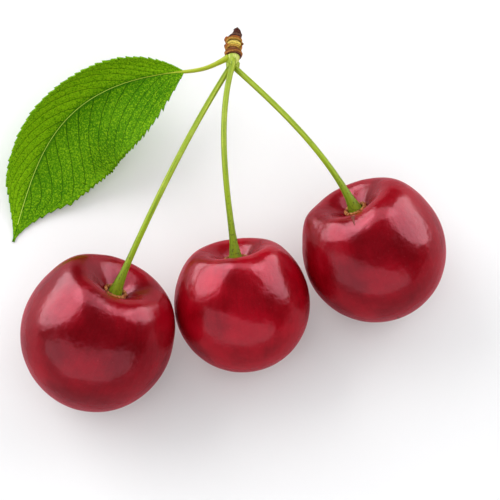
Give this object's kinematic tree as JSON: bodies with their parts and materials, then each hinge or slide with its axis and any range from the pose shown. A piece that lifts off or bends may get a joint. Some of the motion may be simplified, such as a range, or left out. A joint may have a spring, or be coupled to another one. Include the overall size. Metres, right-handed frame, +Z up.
{
  "type": "cherries on stalks",
  "caption": "Glossy dark red sweet cherries on long green stalks that meet at a short woody spur with a serrated leaf, lying on a table as a picked bunch.",
  "frame": {"origin": "on the table, under the middle of the whole bunch's bounding box", "axes": "+Z up from the table the bunch lies on, +Y from the fruits towards the spur, +X to the right with the leaf on the -X side"},
  "size_m": [0.0806, 0.0698, 0.0271],
  "materials": {
    "cherry_skin": "waxy high-gloss fruit skin, deep red with fine paler dots",
    "stalk_green": "fresh yellow-green plant stalk, faintly ribbed, satin",
    "receptacle": "dry frilled orange-brown remains of the flower, matt",
    "spur_wood": "young ringed bark, tan, rough",
    "bud_scale": "dry papery bud scales, orange-brown with ragged lips",
    "dry_bud": "shrivelled dark brown bud, rough",
    "leaf_green": "fresh green leaf, satin, with pale midrib and sunken veins"
  },
  "bodies": {
    "root": {"cherry_left": "cherry_skin", "cherry_middle": "cherry_skin", "cherry_right": "cherry_skin", "receptacle_ring_left": "receptacle", "receptacle_ring_middle": "receptacle", "receptacle_ring_right": "receptacle", "stalk_left": "stalk_green", "stalk_middle": "stalk_green", "stalk_right": "stalk_green", "stalk_cushion": "stalk_green", "spur_core": "spur_wood", "bud_scale_lower": "bud_scale", "bud_scale_middle": "bud_scale", "bud_scale_upper": "bud_scale", "dry_bud": "dry_bud", "leaf": "leaf_green"}
  },
  "joints": []
}
